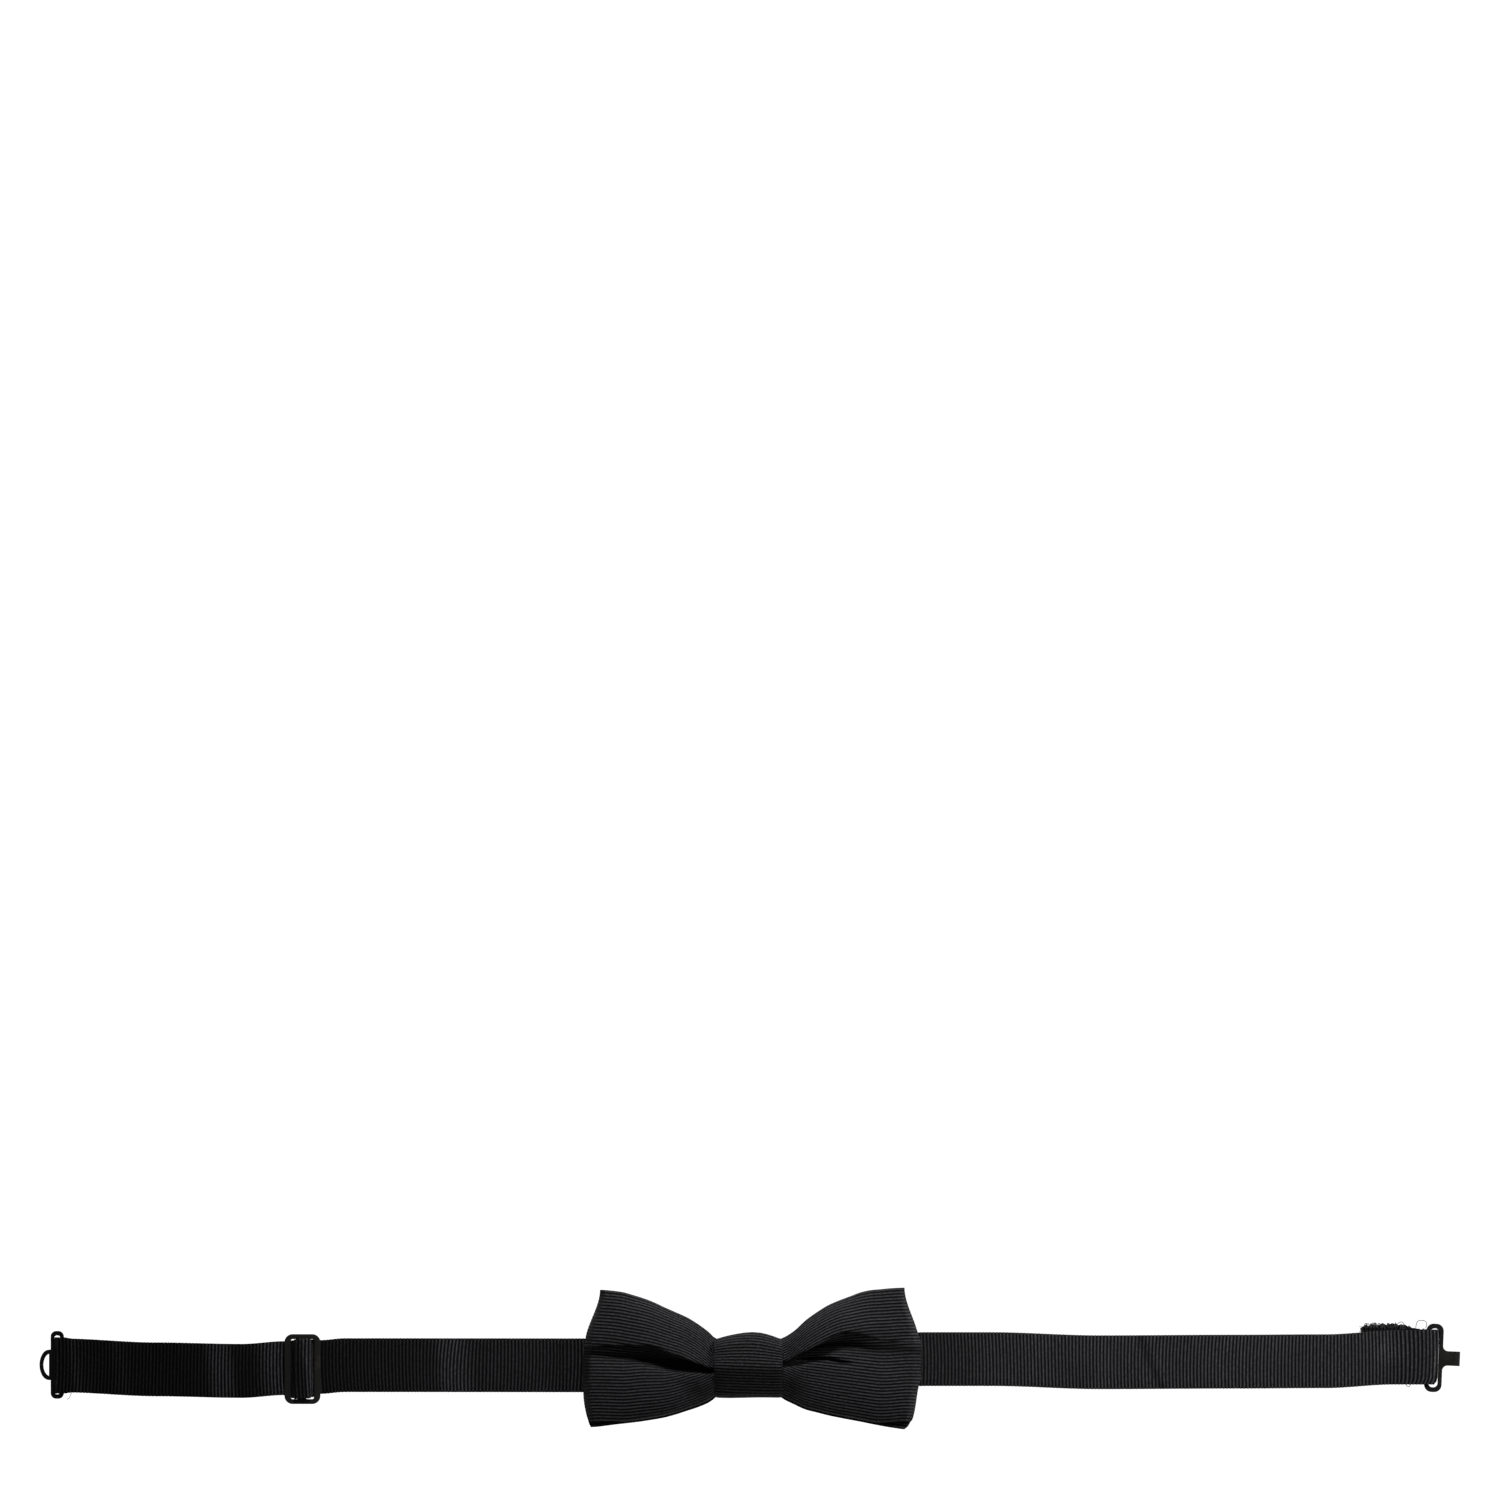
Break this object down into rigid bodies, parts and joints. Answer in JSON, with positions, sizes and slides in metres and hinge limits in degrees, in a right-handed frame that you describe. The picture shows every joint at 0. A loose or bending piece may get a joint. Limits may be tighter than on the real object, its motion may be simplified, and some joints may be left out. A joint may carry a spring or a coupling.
{
  "type": "pre-tied bow tie",
  "caption": "Pre-tied pleated bow tie on an adjustable grosgrain neck ribbon with a slider and a hook-and-eye closure.",
  "frame": {"origin": "middle of the knot's flat back face, on the surface that the tie lies on", "axes": "+X along the neck ribbon from the eye clasp to the hook clasp, +Y up the wearer's face, +Z out of the knot's front"},
  "size_m": [0.4689, 0.046, 0.0128],
  "materials": {
    "grosgrain": "ribbed, low sheen",
    "interlining": "plain canvas",
    "thread": "twisted thread",
    "black_metal": "black satin coat"
  },
  "bodies": {
    "bow": {"bow_front": "grosgrain", "bow_back": "grosgrain", "bow_interlining": "interlining", "waist_binding": "thread", "knot_wrap": "grosgrain", "knot_pad": "interlining", "knot_stitches": "thread", "ribbon_centre": "grosgrain"},
    "left_band": {"ribbon_left": "grosgrain"},
    "left_end": {"ribbon_left_front": "grosgrain", "ribbon_return": "grosgrain", "ribbon_eye_fold": "grosgrain"},
    "slider": {"slider": "black_metal", "ribbon_arch": "grosgrain", "ribbon_end_loop": "grosgrain", "slider_stitches": "thread"},
    "eye_clasp": {"eye_clasp": "black_metal"},
    "right_band": {"ribbon_right_fold": "grosgrain", "ribbon_right": "grosgrain", "ribbon_right_step": "grosgrain", "ribbon_hook_fold": "grosgrain", "hook_stitches": "thread"},
    "hook_clasp": {"hook_clasp": "black_metal"}
  },
  "joints": [
    {"name": "left_band_fold", "type": "hinge", "parent": "bow", "child": "left_band", "pos_m": [-0.058, 0, 0.0012], "axis": [0, -1, 0], "range_deg": [-15, 100]},
    {"name": "right_band_fold", "type": "hinge", "parent": "bow", "child": "right_band", "pos_m": [0.06, 0, 0.0009], "axis": [0, 1, 0], "range_deg": [-15, 100]},
    {"name": "left_end_slide", "type": "slide", "parent": "left_band", "child": "left_end", "axis": [1, 0, 0], "range_m": [-0.03, 0.04], "deforming": ["ribbon_left", "ribbon_left_front", "ribbon_return"]},
    {"name": "slider_slide", "type": "slide", "parent": "left_end", "child": "slider", "axis": [1, 0, 0], "range_m": [-0.03, 0.04]},
    {"name": "eye_clasp_pivot", "type": "hinge", "parent": "left_end", "child": "eye_clasp", "pos_m": [-0.2265, 0.0002, 0.00145], "axis": [0, 1, 0], "range_deg": [-90, 90]},
    {"name": "hook_clasp_pivot", "type": "hinge", "parent": "right_band", "child": "hook_clasp", "pos_m": [0.224, 0.0026, 0.00285], "axis": [0.0419, 0.9991, 0], "range_deg": [-90, 90]}
  ],
  "couplings": [
    {"joint": "slider_slide", "follows": "left_end_slide", "ratio": 1}
  ]
}
